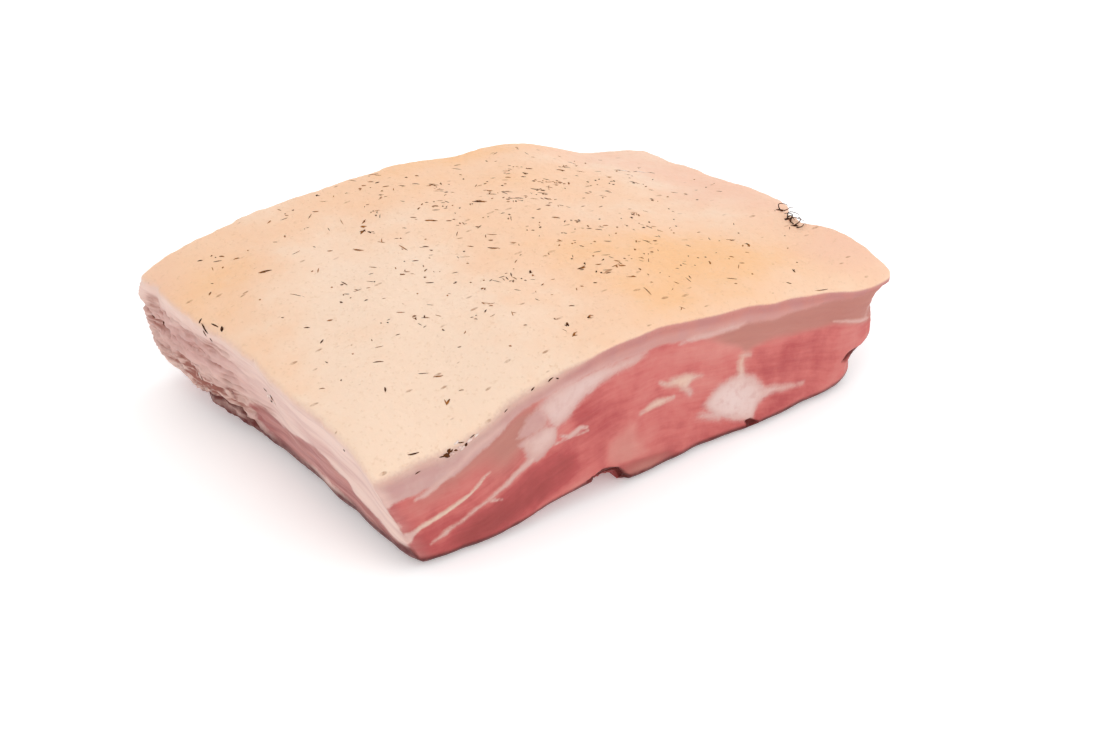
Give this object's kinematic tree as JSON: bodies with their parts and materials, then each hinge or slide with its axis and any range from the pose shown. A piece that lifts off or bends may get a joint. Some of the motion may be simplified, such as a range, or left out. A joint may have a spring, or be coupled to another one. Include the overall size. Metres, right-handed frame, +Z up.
{
  "type": "raw pork belly slab",
  "caption": "Thick slab of raw pork belly with its rind on, cut square with layered fat and lean on its sides, for roasting, lying flesh side down.",
  "frame": {"origin": "on the surface the slab lies on, below the middle of its outline", "axes": "+X along the long front cut face towards its drooping right end, +Y from that face across the slab, +Z up out of the rind"},
  "size_m": [0.2676, 0.182, 0.0695],
  "materials": {
    "rind": "moist satin skin",
    "flesh": "moist cut meat and fat"
  },
  "bodies": {
    "root": {"pork_belly": "rind"}
  },
  "joints": []
}
